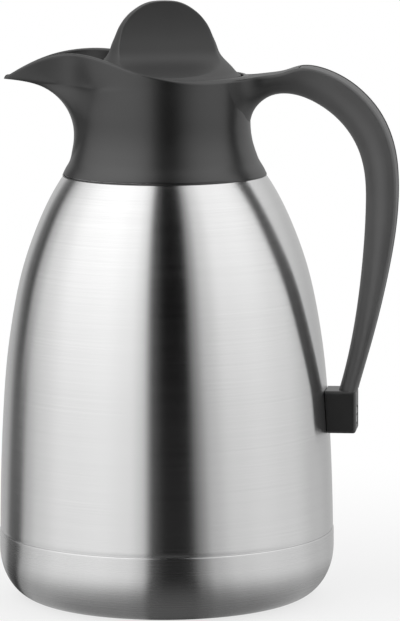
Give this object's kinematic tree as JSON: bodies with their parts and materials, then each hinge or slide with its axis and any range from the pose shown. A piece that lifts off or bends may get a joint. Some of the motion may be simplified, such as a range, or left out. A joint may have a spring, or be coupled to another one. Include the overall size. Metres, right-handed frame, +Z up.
{
  "type": "insulated serving jug with twist stopper",
  "caption": "Double-walled steel serving jug with a dark moulded pouring head, an open side handle and a twist stopper with a paddle grip.",
  "frame": {"origin": "centre of the ring it stands on, at table height", "axes": "+Z up along the jug's axis, -X towards the spout, +X towards the handle"},
  "size_m": [0.1679, 0.141, 0.2503],
  "materials": {
    "shell_steel": "satin",
    "inner_steel": "satin",
    "screw_steel": "satin",
    "getter_alloy": "matte",
    "bead_alloy": "satin",
    "dark_plastic": "satin",
    "inner_plastic": "satin",
    "silicone": "matte",
    "foam": "matte"
  },
  "bodies": {
    "jug": {"outer_shell": "shell_steel", "inner_flask": "inner_steel", "vessel_bottom": "inner_steel", "getter": "getter_alloy", "evacuation_bead": "bead_alloy", "base_cup": "shell_steel", "neck_gasket": "silicone", "neck_ring": "inner_plastic", "pouring_head": "dark_plastic", "handle_cover": "dark_plastic", "handle_block": "dark_plastic", "handle_lug": "inner_steel", "handle_screw": "screw_steel"},
    "seal": {"stopper_seal": "silicone"},
    "stopper": {"stopper_grip": "dark_plastic", "stopper_plug": "inner_plastic", "stopper_bottom": "inner_plastic", "stopper_insulation": "foam"}
  },
  "joints": [
    {"name": "stopper_rise", "type": "slide", "parent": "jug", "child": "seal", "axis": [0, 0, 1], "range_m": [0, 0.00667]},
    {"name": "stopper_turn", "type": "hinge", "parent": "seal", "child": "stopper", "pos_m": [0, 0, 0.2136], "axis": [0, 0, 1], "range_deg": [0, 240]}
  ],
  "couplings": [
    {"joint": "stopper_rise", "follows": "stopper_turn", "m_per_rad": 0.0015915}
  ]
}
